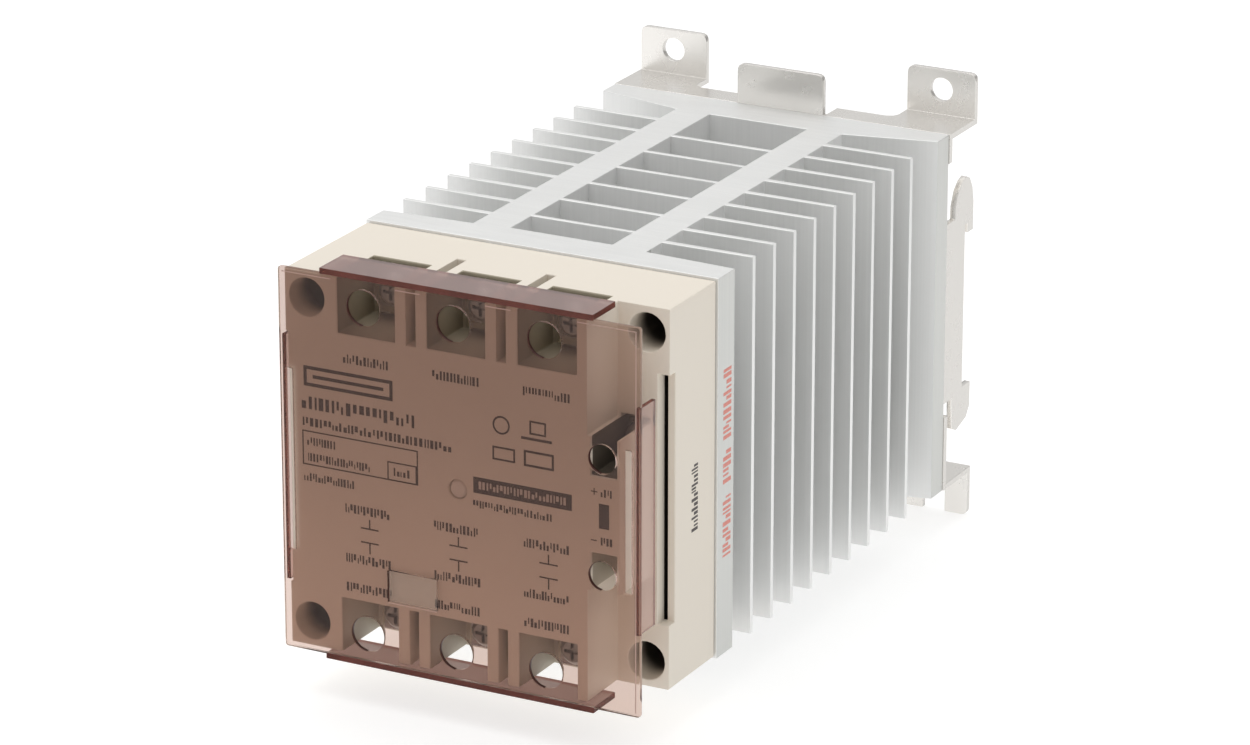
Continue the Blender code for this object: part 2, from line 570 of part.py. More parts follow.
sheet_front = PLATE_FRONT + SEAM
sheet_back = -SEAM
rail_loop = [(sheet_front, 24.8), (-11.6, 24.8), (-11.4, 28.4), (-9.6, 32.2), (-7.2, 34.3), (-4.8, 35.0),
             (-2.6, 34.0), (-0.8, 31.0), (0, 27.0), (0, 18.9), (-3.4, 18.9), (-3.4, RAIL_TOP),
             (RAIL_SEAT, RAIL_TOP), (RAIL_SEAT, NOTCH_LOW), (0, NOTCH_LOW), (0, -31.0), (-2.1, -33.8),
             (-8.4, -35.6), (-11.0, -34.4), (-11.3, -25.6), (sheet_front, -25.6)]
for sign, side in ((-1, "left"), (1, "right")):
    join(bracket, outline(f"rail_flange_{side}", [rail_loop], SHEET, (sign * (RAIL_X - SHEET / 2), 0, 0),
                          "YZ"))
    shelf = [(TAB_HALF + 0.4, sheet_front), (EAR_OUT, sheet_front), (EAR_OUT, sheet_back),
             (EAR_IN, sheet_back), (EAR_IN, SHELF_BACK + 2.5), (EAR_IN - 0.8, SHELF_BACK + 0.8),
             (EAR_IN - 2.5, SHELF_BACK), (TAB_HALF + 0.4, SHELF_BACK)]
    join(bracket, outline(f"top_shelf_{side}", [[(sign * x, y) for x, y in shelf]], SHEET,
                          (0, 0, half_h - SHEET / 2)))
    join(bracket, block(f"bottom_shelf_{side}", (sign * EAR_IN, sign * EAR_OUT), (sheet_front, sheet_back),
                        (-half_h, -half_h + SHEET)))
    ear_in = EAR_IN + SEAM
    ear_out = EAR_OUT - SEAM
    ear_root = half_h - SHEET + SEAM
    ear = rounded([(ear_in, ear_root), (ear_out, ear_root), (ear_out, EAR_TOP), (ear_in, EAR_TOP)], (2, 3),
                  EAR_CORNER)
    hole = [(EAR_HOLE_X + EAR_HOLE_R * math.cos(a), EAR_HOLE_Z + EAR_HOLE_R * math.sin(a))
            for a in (i * math.tau / ROUND for i in range(ROUND))]
    join(bracket, outline(f"top_ear_{side}", [[(sign * x, z) for x, z in ear],
                                              [(sign * x, z) for x, z in hole]],
                          SHEET, (0, -SHEET / 2, 0), "XZ"))
    arch = [(EAR_HOLE_X + EAR_HOLE_R * math.cos(a), EAR_HOLE_Z - EAR_HOLE_R * math.sin(a))
            for a in (i * math.pi / 12 for i in range(13))]
    low = rounded([(ear_out, ear_root), (ear_out, EAR_TOP), (EAR_HOLE_X + EAR_HOLE_R, EAR_TOP)], (1,),
                  EAR_CORNER) + arch
    low += rounded([(EAR_HOLE_X - EAR_HOLE_R, EAR_TOP), (ear_in, EAR_TOP), (ear_in, ear_root)], (1,),
                   EAR_CORNER)
    join(bracket, outline(f"bottom_ear_{side}", [[(sign * x, -z) for x, z in low]], SHEET,
                          (0, -SHEET / 2, 0), "XZ"))

LATCH_FRONT = PLATE_BACK + TOUCH
LATCH_BACK = LATCH_FRONT + LATCH_T
GUIDE_Z = (-44.0, -26.0)
LUG_Z = (-43.6, -42.4)
WINDOW_Z = (-44.0, -30.0)
for sign in (-1, 1):
    join(bracket, block(f"guide_wall_{sign}", (sign * (LATCH_HALF + 0.4), sign * (LATCH_HALF + 2.0)),
                        (PLATE_BACK - 0.5, LATCH_BACK + 2.0), GUIDE_Z))
    join(bracket, block(f"guide_lip_{sign}", (sign * (LATCH_HALF - 1.6), sign * (LATCH_HALF + 1.0)),
                        (LATCH_BACK + 0.4, LATCH_BACK + 2.0 - SEAM), (GUIDE_Z[0] + SEAM, GUIDE_Z[1] - SEAM)))
join(bracket, block("spring_lug", (-3.0, 3.0), (PLATE_BACK - 0.5, LATCH_BACK + 3.6), LUG_Z))
for k, (x, z) in enumerate(BRACKET_SCREWS):
    cut(bracket, rod(f"bracket_hole_{k}", x, z, SCREW_R + TOUCH, (PLATE_FRONT - 1, PLATE_BACK + 1), tools, 20))
finish(bracket, plated)

BRACKET_SEAT = PLATE_BACK + 0.1
for k, (x, z) in enumerate(BRACKET_SCREWS):
    name = f"bracket_screw_{k + 1}"
    head = turned(name, [(0, 2.6), (2.8, 2.6), (3.7, 1.5), (3.7, 0), (SCREW_R, 0), (SCREW_R, -8.5),
                         (SCREW_R - 0.5, -9.0), (0, -9.0)], (x, BRACKET_SEAT, z), 24)
    head.rotation_euler = (-math.pi / 2, 0, 0)
    cut(head, cross_recess(name, x, z, 2.2, BRACKET_SEAT + 1.25, BRACKET_SEAT + 4))
    finish(head, zinc)

# ---------------------------------------------------------------- rail latch and its spring
RAIL_LOW = RAIL_TOP - RAIL_H
HOOK_TOP = RAIL_LOW - 2 * TOUCH
HOOK_LOW = HOOK_TOP - 5.5
latch_loop = [(LATCH_FRONT, -51.0), (LATCH_BACK, -51.0), (LATCH_BACK, HOOK_LOW), (-0.9, HOOK_LOW),
              (-0.9, HOOK_TOP + 2.8), (-3.4, HOOK_TOP + 2.8), (-3.4, HOOK_TOP), (LATCH_FRONT, HOOK_TOP)]
rail_latch = outline("rail_latch", [latch_loop], 2 * LATCH_HALF, (0, 0, 0), "YZ")
join(rail_latch, block("latch_tab", (-6.0, 6.0), (LATCH_FRONT + SEAM, LATCH_BACK - SEAM), (-59.0, -50.0)))
join(rail_latch, block("spring_seat", (-4.5, 4.5), (LATCH_BACK - 0.5, LATCH_BACK + 3.6),
                       (WINDOW_Z[1], WINDOW_Z[1] + 2.5)))
cut(rail_latch, block("latch_window", (-3.8, 3.8), (LATCH_FRONT - 1, LATCH_BACK + 1), WINDOW_Z))
cut(rail_latch, block("latch_tool_slot", (-3.0, 3.0), (LATCH_FRONT - 1, LATCH_BACK + 1), (-57.0, -54.8)))
finish(rail_latch, latch_black)

COIL_R = 2.3
WIRE_R = 0.3
COIL_TURNS = 5
COIL_STEPS = 12
COIL_LOW = LUG_Z[1] + WIRE_R + 0.15
COIL_HIGH = WINDOW_Z[1] - WIRE_R - 0.15
coil = bpy.data.curves.new("latch_spring", "CURVE")
coil.dimensions = "3D"
coil.bevel_depth = WIRE_R * MM
coil.bevel_resolution = 2
coil.use_fill_caps = True
wire = coil.splines.new("POLY")
wire.points.add(COIL_TURNS * COIL_STEPS)
for i, point in enumerate(wire.points):
    angle = i * math.tau / COIL_STEPS
    rise = (COIL_HIGH - COIL_LOW) * i / (COIL_TURNS * COIL_STEPS)
    point.co = (COIL_R * math.cos(angle) * MM, COIL_R * math.sin(angle) * MM, rise * MM, 1)
latch_spring = bpy.data.objects.new("latch_spring", coil)
latch_spring.location = Vector((0, PLATE_BACK + COIL_R + WIRE_R + 0.2, COIL_LOW)) * MM
parts.objects.link(latch_spring)
finish(latch_spring, spring_steel)
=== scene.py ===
import json
import math

import bmesh
import bpy
import numpy as np
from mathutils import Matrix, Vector


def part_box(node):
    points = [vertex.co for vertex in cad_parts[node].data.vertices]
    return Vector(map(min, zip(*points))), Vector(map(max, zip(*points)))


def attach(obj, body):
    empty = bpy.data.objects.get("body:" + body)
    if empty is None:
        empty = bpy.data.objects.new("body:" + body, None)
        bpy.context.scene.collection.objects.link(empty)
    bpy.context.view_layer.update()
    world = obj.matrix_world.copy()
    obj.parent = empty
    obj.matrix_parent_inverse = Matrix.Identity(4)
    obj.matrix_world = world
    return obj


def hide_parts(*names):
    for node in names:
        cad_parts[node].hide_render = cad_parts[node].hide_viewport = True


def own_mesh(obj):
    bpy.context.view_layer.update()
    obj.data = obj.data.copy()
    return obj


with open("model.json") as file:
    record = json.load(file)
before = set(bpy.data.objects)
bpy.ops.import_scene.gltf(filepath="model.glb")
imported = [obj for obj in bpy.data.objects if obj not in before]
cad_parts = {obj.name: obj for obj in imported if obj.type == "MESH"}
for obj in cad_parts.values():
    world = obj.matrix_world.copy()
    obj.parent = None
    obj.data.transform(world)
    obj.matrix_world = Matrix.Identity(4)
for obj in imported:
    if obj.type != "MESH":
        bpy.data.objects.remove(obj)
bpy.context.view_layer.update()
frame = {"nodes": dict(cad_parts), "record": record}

# ---------------------------------------------------------------- studio
# A pale table under a white tent. A large soft box hangs overhead and does most of the lighting, and
# a weak one stands at the right; the camera looks down on the front right corner of the relay.
MM = 0.001
bpy.context.scene.view_settings.view_transform = "Standard"


class Wire:
    """One output socket of a node tree. Arithmetic on wires and numbers adds Math nodes."""

    def __init__(self, tree, socket=None):
        self.tree = tree
        self.socket = socket

    def add(self, kind, sockets=(), out=0, **settings):
        """Adds a node of this kind: settings first, then a value or a link for each named socket."""
        node = self.tree.nodes.new("ShaderNode" + kind)
        for key, value in settings.items():
            setattr(node, key, value)
        for key, value in dict(sockets).items():
            if isinstance(value, Wire):
                self.tree.links.new(value.socket, node.inputs[key])
            else:
                node.inputs[key].default_value = value
        return Wire(self.tree, node.outputs[out])

    def other(self, name):
        """Another output of the node that this wire leaves."""
        return Wire(self.tree, self.socket.node.outputs[name])

    def math(self, operation, a, b=0.0):
        return self.add("Math", {0: a, 1: b}, operation=operation)

    def __add__(self, b):
        return self.math("ADD", self, b)

    def __sub__(self, b):
        return self.math("SUBTRACT", self, b)

    def __rsub__(self, a):
        return self.math("SUBTRACT", a, self)

    def __mul__(self, b):
        return self.math("MULTIPLY", self, b)

    def __truediv__(self, b):
        return self.math("DIVIDE", self, b)

    def __gt__(self, b):
        return self.math("GREATER_THAN", self, b)

    def __lt__(self, b):
        return self.math("LESS_THAN", self, b)

    __radd__ = __add__
    __rmul__ = __mul__

    def absolute(self):
        return self.math("ABSOLUTE", self)

    def clipped(self):
        """This wire held between 0 and 1."""
        return self.math("MAXIMUM", self.math("MINIMUM", self, 1.0), 0.0)

    def eased(self, start, end):
        """0 before start, 1 after end, and a smooth step between."""
        return self.add("MapRange", {0: self, 1: start, 2: end}, interpolation_type="SMOOTHSTEP")

    def stretched(self, scale):
        """This vector with each axis scaled by its own factor."""
        return self.add("VectorMath", {0: self, 1: scale}, operation="MULTIPLY")

    def noise(self, scale, detail=3.0, roughness=0.55):
        """Noise from 0 to 1 at this vector."""
        return self.add("TexNoise", {"Vector": self, "Scale": scale, "Detail": detail,
                                     "Roughness": roughness})

    def blend(self, a, b):
        """Colour a where this wire is 0 and colour b where it is 1."""
        a = a if isinstance(a, Wire) else (*a, 1.0)
        b = b if isinstance(b, Wire) else (*b, 1.0)
        return self.add("Mix", {0: self, 6: a, 7: b}, out=2, data_type="RGBA")

    def bump(self, depth):
        """A Normal whose bumps are this deep, in metres."""
        return self.add("Bump", {"Height": self, "Distance": depth, "Strength": 1.0}, out="Normal")


world = bpy.data.worlds.new("tent")
bpy.context.scene.world = world
world.use_nodes = True
sky = Wire(world.node_tree)
toward = sky.add("TexCoord", out="Generated")
across = sky.add("SeparateXYZ", {0: toward})
# The tent's strength: the same all round, more overhead, and less towards the right.
ALL_ROUND = 0.50
OVERHEAD = 0.36
FROM_RIGHT = -0.30
level = ALL_ROUND + OVERHEAD * across.other("Z").clipped() + FROM_RIGHT * across.clipped()
sky.tree.links.new(level.socket, world.node_tree.nodes["Background"].inputs["Strength"])
world.node_tree.nodes["Background"].inputs["Color"].default_value = (1.0, 0.995, 0.985, 1.0)


def soft_box(name, place, aim, width, height, watts):
    """A rectangular area light at place, turned to aim."""
    data = bpy.data.lights.new(name, "AREA")
    data.shape = "RECTANGLE"
    data.size = width
    data.size_y = height
    data.energy = watts
    light = bpy.data.objects.new(name, data)
    light.location = place
    light.rotation_euler = (Vector(aim) - Vector(place)).to_track_quat("-Z", "Y").to_euler()
    bpy.context.scene.collection.objects.link(light)


RELAY_MIDDLE = (0, -0.09, 0)
soft_box("key_box", (1.1, 0.15, 1.25), RELAY_MIDDLE, 1.3, 1.0, watts=2.2)
soft_box("top_box", (-0.25, -0.1, 1.5), RELAY_MIDDLE, 1.6, 1.4, watts=9.5)

CAMERA_PLACE = Vector((0.649469, -1.333625, 0.498744))
CAMERA_TURN = math.radians(27.871)
CAMERA_DROP = math.radians(19.629)
SENSOR_MM, LENS_MM = 36.0, 165.72
aim = Vector((-math.sin(CAMERA_TURN) * math.cos(CAMERA_DROP),
              math.cos(CAMERA_TURN) * math.cos(CAMERA_DROP),
              -math.sin(CAMERA_DROP)))
camera_data = bpy.data.cameras.new("camera")
camera_data.sensor_width = SENSOR_MM
camera_data.lens = LENS_MM
camera_data.clip_start = 0.05
camera_data.clip_end = 40.0
camera = bpy.data.objects.new("camera", camera_data)
camera.location = CAMERA_PLACE
camera.rotation_euler = aim.to_track_quat("-Z", "Y").to_euler()
bpy.context.scene.collection.objects.link(camera)
bpy.context.scene.camera = camera


def start_finish(name, **fixed):
    """A new material, with its shader and a wire of object coordinates.

    Fixed values sit on the shader's sockets.
    """
    material = bpy.data.materials.new(name)
    material.use_nodes = True
    shader = material.node_tree.nodes["Principled BSDF"]
    for key, value in fixed.items():
        socket = shader.inputs[key.replace("_", " ")]
        socket.default_value = (*value, 1.0) if socket.type == "RGBA" else value
    place = Wire(material.node_tree).add("TexCoord", out="Object")
    return material, shader, place


def feed(shader, **wires):
    """Link each wire to the shader's socket of that name."""
    for key, wire in wires.items():
        wire.tree.links.new(wire.socket, shader.inputs[key.replace("_", " ")])


FLOOR_Z = -62.4 * MM
FLOOR_HALF = 6.0
CELLS = 24
LINES = CELLS + 1
steps = np.linspace(-FLOOR_HALF, FLOOR_HALF, LINES)
floor_x, floor_y = np.meshgrid(steps, steps)
floor_points = np.stack([floor_x.ravel(), floor_y.ravel(), np.full(LINES ** 2, FLOOR_Z)], axis=1)
corner = (np.arange(CELLS)[:, None] * LINES + np.arange(CELLS)).ravel()
floor_faces = np.stack([corner, corner + 1, corner + LINES + 1, corner + LINES], axis=1)
floor_mesh = bpy.data.meshes.new("table_top")
floor_mesh.from_pydata(floor_points.tolist(), [], floor_faces.tolist())
floor = bpy.data.objects.new("table_top", floor_mesh)
bpy.context.scene.collection.objects.link(floor)
paper, paper_shader, place = start_finish("table_paper", Roughness=0.9, Specular_IOR_Level=0.2,
                                          Emission_Color=(1.0, 1.0, 1.0), Emission_Strength=0.62)
feed(paper_shader, Base_Color=place.noise(3.0).blend((0.50, 0.50, 0.497), (0.53, 0.53, 0.527)),
     Normal=place.noise(900.0).bump(0.00002))
floor_mesh.materials.append(paper)


# ---------------------------------------------------------------- heat sink
# One aluminium extrusion, sawn to length top and bottom: two webs, nine fins a side, a thick front
# plate for the power modules and a back plate for the bracket. Die lines run along Z.
body_of = {node: body
           for body, nodes in frame["record"]["behaviour"]["bodies"].items() for node in nodes}


# Flats closer than STEP are one face with a seam, and points closer than MERGE are one point.
STEP = 0.06 * MM
MERGE = 0.002 * MM
FACET_BREADTH = 1.7 * MM
SLIVER = 1.6


def level_steps(bm, step):
    """Moves the smaller of two flats less than one step apart onto the plane of the larger one."""
    for axis in range(3):
        area = {}
        for face in bm.faces:
            if abs(face.normal[axis]) > 0.999:
                level = round(face.calc_center_median()[axis], 6)
                area[level] = area.get(level, 0.0) + face.calc_area()
        levels = sorted(area, key=area.get, reverse=True)
        for k, main in enumerate(levels):
            for other in levels[k + 1:]:
                if 0.0 < abs(main - other) < step:
                    for vert in bm.verts:
                        if abs(vert.co[axis] - other) < MERGE:
                            vert.co[axis] = main


def softened(node, finishes, width, turns=2, sharpest=30.0):
    """The node's CAD solid with its corners merged, its flats made whole and its edges rounded.

    An edge is rounded where its faces meet at more than the sharpest angle, in degrees, and neither
    face is a sliver, which is a face whose area over its longest edge is under SLIVER widths. Broad
    faces are shaded flat, and the facets of round ones smooth.
    """
    mesh = bpy.data.meshes.new(node + "_finished")
    bm = bmesh.new()
    bm.from_mesh(frame["nodes"][node].data)
    level_steps(bm, STEP)
    bmesh.ops.remove_doubles(bm, verts=bm.verts, dist=MERGE)
    bmesh.ops.dissolve_degenerate(bm, dist=MERGE, edges=bm.edges)
    bmesh.ops.dissolve_limit(bm, angle_limit=math.radians(1.0), verts=bm.verts, edges=bm.edges)
    weight = bm.edges.layers.float.new("bevel_weight_edge")
    breadth = {face: face.calc_area() / max(edge.calc_length() for edge in face.edges)
               for face in bm.faces}
    for edge in bm.edges:
        if len(edge.link_faces) == 2 and edge.calc_face_angle(0.0) > math.radians(sharpest):
            edge[weight] = float(min(breadth[face] for face in edge.link_faces) > SLIVER * width)
            edge.smooth = edge[weight] > 0
    for face in bm.faces:
        face.smooth = breadth[face] < FACET_BREADTH
    bmesh.ops.triangulate(bm, faces=bm.faces)
    bm.to_mesh(mesh)
    bm.free()
    piece = bpy.data.objects.new(node + "_finished", mesh)
    bpy.context.scene.collection.objects.link(piece)
    for finish in finishes:
        mesh.materials.append(finish)
    rounding = piece.modifiers.new("rounded_edges", "BEVEL")
    rounding.limit_method = "WEIGHT"
    rounding.width = width
    rounding.segments = turns
    rounding.use_clamp_overlap = False
    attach(piece, body_of[node])
    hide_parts(node)
    return piece


def between(wire, low, high):
    """1 where this wire lies between low and high."""
    return (wire > low) * (wire < high)


FIN_TIPS_Y = (-138 * MM, -30 * MM)
WINDOW_REACH = 15.2 * MM


def sink_finish():
    """Satin alloy: die lines along Z, saw marks across the cut ends, and pale specks there as painted glints.

    The walls of the middle windows are less metallic, so they catch more of the light from overhead and show
    whiter: painted light, not a skin from the die. Painted shade darkens the outer sides of the two plates,
    but not the tips of the fins.
    """
    material, shader, place = start_finish("sink_alloy_satin", IOR=1.5)
    lines = place.stretched((1400.0, 1400.0, 6.0)).noise(1.0, 2.0)
    saw = place.stretched((90.0, 1900.0, 90.0)).noise(1.0, 2.0)
    facing = place.add("SeparateXYZ", {0: place.other("Normal")})
    facing_up = facing.other("Z").absolute() > 0.7
    facing_side = facing.absolute() > 0.7
    along = place.add("SeparateXYZ", {0: place})
    inner = (along.absolute() < WINDOW_REACH) * (1 - facing_up)
    outer_skin = (1 - facing_up) * (1 - inner)
    fin_tip = facing_side * between(along.other("Y"), *FIN_TIPS_Y)
    cloud = place.noise(28.0, 4.0)
    speck = place.noise(2600.0, 1.0)
    # Painted glints: pale specks brighten the cut ends.
    painted_glint = facing_up * speck.eased(0.55, 0.75)
    marks = lines * (1 - facing_up) + saw * facing_up
    tone = (cloud * 0.4 + marks * 0.6 + painted_glint * 0.3).clipped()
    colour = tone.blend((0.80, 0.805, 0.80), (0.945, 0.948, 0.94))
    # Painted shade: the outer sides of the plates darken, with a trace on the other outer walls; the fin tips
    # stay bright.
    plate_side_shade = outer_skin * (0.05 + 0.75 * facing_side) * (1 - fin_tip)
    colour = plate_side_shade.clipped().blend(colour, tone.blend((0.50, 0.507, 0.485), (0.66, 0.665, 0.64)))
    feed(shader, Base_Color=colour, Metallic=0.82 - 0.6 * inner - 0.22 * outer_skin,
         Roughness=0.34 + 0.16 * marks + 0.06 * cloud + 0.05 * facing_up,
         Normal=(marks * 0.8 + speck * 0.4).bump(0.000016))
    return material


sink_alloy_satin = sink_finish()
softened("heat_sink", [sink_alloy_satin], 0.16 * MM)


def slabs(name, boxes, finish, body):
    """Thin closed boxes of print or film. Each row is x0, x1, y0, y1, z0, z1 in millimetres.

    Corner (i, j, k) of a box takes the low or high value along x, y and z.
    """
    sides = np.array(boxes, float) * MM
    pick = np.array([(i, j, k) for i in (0, 1) for j in (0, 1) for k in (0, 1)])
    points = np.stack([sides[:, 2 * axis + pick[:, axis]] for axis in range(3)], axis=-1)
    quads = np.array([(0, 1, 3, 2), (4, 6, 7, 5), (0, 4, 5, 1), (2, 3, 7, 6), (0, 2, 6, 4), (1, 5, 7, 3)])
    faces = (np.arange(len(sides))[:, None, None] * 8 + quads).reshape(-1, 4)
    mesh = bpy.data.meshes.new(name)
    mesh.from_pydata(points.reshape(-1, 3).tolist(), [], faces.tolist())
    mesh.materials.append(finish)
    piece = bpy.data.objects.new(name, mesh)
    bpy.context.scene.collection.objects.link(piece)
    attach(piece, body)
    return piece


def ticks(start, end, height, seed, stroke=0.42):
    """Plain upright strokes in a row, as (from, to, low, high): they stand where lettering would."""
    draw = np.random.default_rng(seed)
    rows = []
    at = start
    while at < end - stroke:
        wide = stroke * draw.uniform(0.8, 1.9)
        low, high = draw.choice([(0.0, 1.0), (0.0, 0.62), (0.3, 1.0), (0.0, 1.0)])
        rows.append((at, min(at + wide, end), low * height, high * height))
        at += wide + stroke * draw.uniform(0.7, 1.3)
    return rows


def ink(name, dark, light, rough=0.55):
    """Pad-printed ink: its tone and gloss break up a little where the film is thin."""
    material, shader, place = start_finish(name, IOR=1.45)
    thin = place.noise(1500.0, 3.0)
    feed(shader, Base_Color=thin.blend(dark, light), Roughness=rough + 0.15 * thin,
         Normal=thin.bump(0.000005))
    return material


FILM = 0.03
SINK_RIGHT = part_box("heat_sink")[1].x / MM
SINK_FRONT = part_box("heat_sink")[0].y / MM
RED_BASE = SINK_FRONT + 7.2
RED_H = 4.2
red_ink = ink("red_ink", (0.66, 0.19, 0.15), (0.84, 0.38, 0.33))
red_marks = []
for first, last, seed in ((-24.0, -7.0, 3), (-4.6, 4.4, 4), (7.0, 25.4, 5)):
    for a, b, low, high in ticks(first, last, RED_H, seed, 0.6):
        red_marks.append((SINK_RIGHT, SINK_RIGHT + FILM, RED_BASE - high, RED_BASE - low, a, b))
slabs("sink_side_print", red_marks, red_ink, "relay")


# ---------------------------------------------------------------- bracket and what it carries
# Pressed steel sheet, bright nickel plated after folding. Four cross-head screws hold it to the
# heat sink, and a nylon latch slides behind it on its own spring.
def plated_finish(name, dark, light, rough, metallic=1.0):
    """Bright plate: fine rolling lines, a cloudy haze and faint rub marks; faces turned along X are darker
    with painted shade.
    """
    material, shader, place = start_finish(name, Metallic=metallic)
    haze = place.noise(45.0, 4.0)
    rolled = place.stretched((2200.0, 40.0, 40.0)).noise(1.0, 2.0)
    rubbed = place.noise(160.0, 3.0, 0.6).eased(0.50, 0.80)
    # Painted shade: faces turned along X take a darker tone.
    sideways_shade = place.add("SeparateXYZ", {0: place.other("Normal")}).absolute() > 0.7
    tone = (haze * 0.7 + rolled * 0.3).blend(dark, light)
    feed(shader, Base_Color=sideways_shade.blend(tone, [0.80 * c for c in dark]),
         Roughness=rough + 0.08 * haze + 0.06 * rubbed, Normal=(rolled * 0.6 + haze).bump(0.000006))
    return material


nickel = plated_finish("bright_nickel", (0.82, 0.795, 0.76), (0.96, 0.94, 0.91), 0.22, 0.78)
zinc = plated_finish("zinc_plate", (0.60, 0.60, 0.60), (0.78, 0.78, 0.77), 0.22)
softened("mounting_bracket", [nickel], 0.12 * MM)
for k in range(1, 5):
    softened(f"bracket_screw_{k}", [zinc], 0.08 * MM)


def moulded_finish(name, dark, light, rough, grain=2300.0, depth=0.00001):
    """Moulded plastic: spark-eroded grain, and a slow drift in tone from the flow of the melt."""
    material, shader, place = start_finish(name)
    flow = place.stretched((1.0, 0.6, 1.4)).noise(22.0, 3.0)
    fine = place.noise(grain, 2.0)
    feed(shader, Base_Color=(flow * 0.75 + fine * 0.25).blend(dark, light),
         Roughness=rough + 0.10 * fine + 0.05 * flow, Normal=fine.bump(depth))
    return material


nylon = moulded_finish("latch_nylon", (0.030, 0.030, 0.033), (0.055, 0.055, 0.058), 0.42, 1700.0, 0.00002)
softened("rail_latch", [nylon], 0.25 * MM)

spring_low, spring_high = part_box("latch_spring")
WIRE_R = 0.3 * MM
COIL_TURNS = 5
coil_r = (spring_high.x - spring_low.x) / 2 - WIRE_R
coil_y = (spring_high.y + spring_low.y) / 2


def coil(turns, rows, sides):
    """A round wire carried up a helix: u runs along the wire and v round its upright section."""
    u = np.linspace(0.0, turns * math.tau, rows)[:, None]
    v = np.linspace(0.0, math.tau, sides, endpoint=False)[None, :]
    bottom = spring_low.z + WIRE_R
    climb = (spring_high.z - spring_low.z - 2 * WIRE_R) / (turns * math.tau)
    reach = coil_r + WIRE_R * np.cos(v)
    height = bottom + climb * u + WIRE_R * np.sin(v)
    return np.stack([reach * np.cos(u), coil_y + reach * np.sin(u), height], axis=-1)


def grid_mesh(name, points, finish, caps=True):
    """A mesh from a grid of points whose rows close round, with a cap at each end if asked for."""
    rows, sides, _ = points.shape
    a = (np.arange(rows - 1)[:, None] * sides + np.arange(sides)).ravel()
    b = (np.arange(rows - 1)[:, None] * sides + (np.arange(sides) + 1) % sides).ravel()
    faces = np.stack([a, b, b + sides, a + sides], axis=1).tolist()
    if caps:
        faces.append(list(range(sides))[::-1])
        faces.append(list(range((rows - 1) * sides, rows * sides)))
    mesh = bpy.data.meshes.new(name)
    mesh.from_pydata(points.reshape(-1, 3).tolist(), [], faces)
    bm = bmesh.new()
    bm.from_mesh(mesh)
    bmesh.ops.remove_doubles(bm, verts=bm.verts, dist=1e-7)
    bmesh.ops.recalc_face_normals(bm, faces=bm.faces)
    bm.to_mesh(mesh)
    bm.free()
    mesh.shade_smooth()
    mesh.materials.append(finish)
    piece = bpy.data.objects.new(name, mesh)
    bpy.context.scene.collection.objects.link(piece)
    return piece


spring_wire = plated_finish("spring_wire", (0.42, 0.42, 0.44), (0.60, 0.60, 0.62), 0.25)
spring = grid_mesh("latch_spring_coil", coil(COIL_TURNS, 181, 10), spring_wire)
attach(spring, "relay")
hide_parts("latch_spring")
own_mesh(spring)


# ---------------------------------------------------------------- innards
# The board sits over three power modules, each on a grey thermal pad against the sink. These stay
# as the frame holds them, because the housing closes over them, and take their finishes only.
def dress(nodes, finish):
    """Give each CAD node this finish in place of its own."""
    for node in nodes:
        for slot in frame["nodes"][node].material_slots:
            slot.material = finish


board = moulded_finish("solder_mask", (0.03, 0.13, 0.06), (0.05, 0.22, 0.10), 0.32, 900.0, 0.00002)
epoxy = moulded_finish("moulded_epoxy", (0.022, 0.022, 0.026), (0.04, 0.04, 0.045), 0.45)
pad_grey = moulded_finish("thermal_pad", (0.42, 0.44, 0.47), (0.55, 0.57, 0.60), 0.65)
disc_blue = moulded_finish("varistor_dip", (0.03, 0.08, 0.30), (0.06, 0.14, 0.44), 0.35, 500.0)
box_yellow = moulded_finish("capacitor_box", (0.62, 0.42, 0.05), (0.75, 0.54, 0.10), 0.38)
dress(["circuit_board"], board)
dress([f"power_module_{k}" for k in (1, 2, 3)] + [f"photocoupler_{k}" for k in (1, 2, 3)], epoxy)
dress([f"thermal_pad_{k}" for k in (1, 2, 3)], pad_grey)
dress([f"varistor_{k}" for k in (1, 2, 3)], disc_blue)
dress([f"snubber_capacitor_{k}" for k in (1, 2, 3)], box_yellow)


# ---------------------------------------------------------------- housing
# A beige thermoplastic moulding with a fine spark-eroded texture. Four long screws in its corner
# wells pull it down on the sink's front plate. Black pad-printed marks lie on its raised face.
POLE_X = (-26.25, -1.1, 24.05)
RECESS_HALF = 8.3
DIVIDER_X = (-13.675, 11.475)
CORNER_X, CORNER_Z, WELL_R = 42.9, 42.7, 5.15
FACE_DEPTH = 40.3
WING_DROP = 15.6
FACE_Y = SINK_FRONT - FACE_DEPTH


